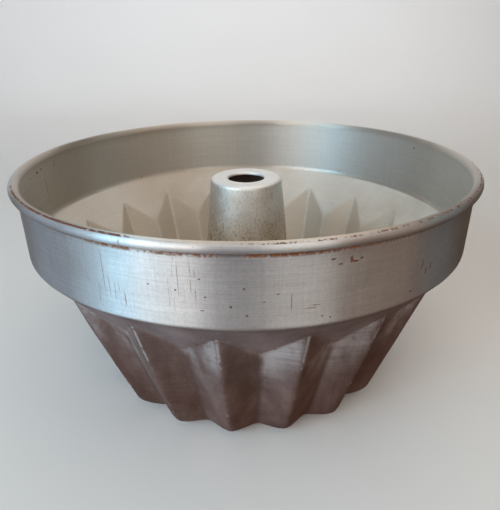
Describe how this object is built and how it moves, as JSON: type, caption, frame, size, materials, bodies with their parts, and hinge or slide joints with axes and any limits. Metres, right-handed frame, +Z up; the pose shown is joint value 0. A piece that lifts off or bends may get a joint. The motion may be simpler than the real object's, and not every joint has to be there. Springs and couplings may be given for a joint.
{
  "type": "fluted tube pan",
  "caption": "Deep round cake mould with pleated flared sides, a sloping shoulder under a plain collar, a wired rolled rim and a tapered hollow centre tube with an open crown.",
  "frame": {"origin": "middle of the base, on the surface that the pan stands on", "axes": "+Z up along the axis of the centre tube; -Y through the middle of a valley between two flutes"},
  "size_m": [0.25, 0.25, 0.1294],
  "materials": {
    "body_tinplate": "satin tinplate, drawn and worn, rust in its scratches",
    "tube_tinplate": "dull satin tinplate, speckled with age",
    "wire_steel": "plain drawn wire, lightly rusted"
  },
  "bodies": {
    "root": {"pan_body": "body_tinplate", "centre_tube": "tube_tinplate", "rim_wire": "wire_steel"}
  },
  "joints": []
}
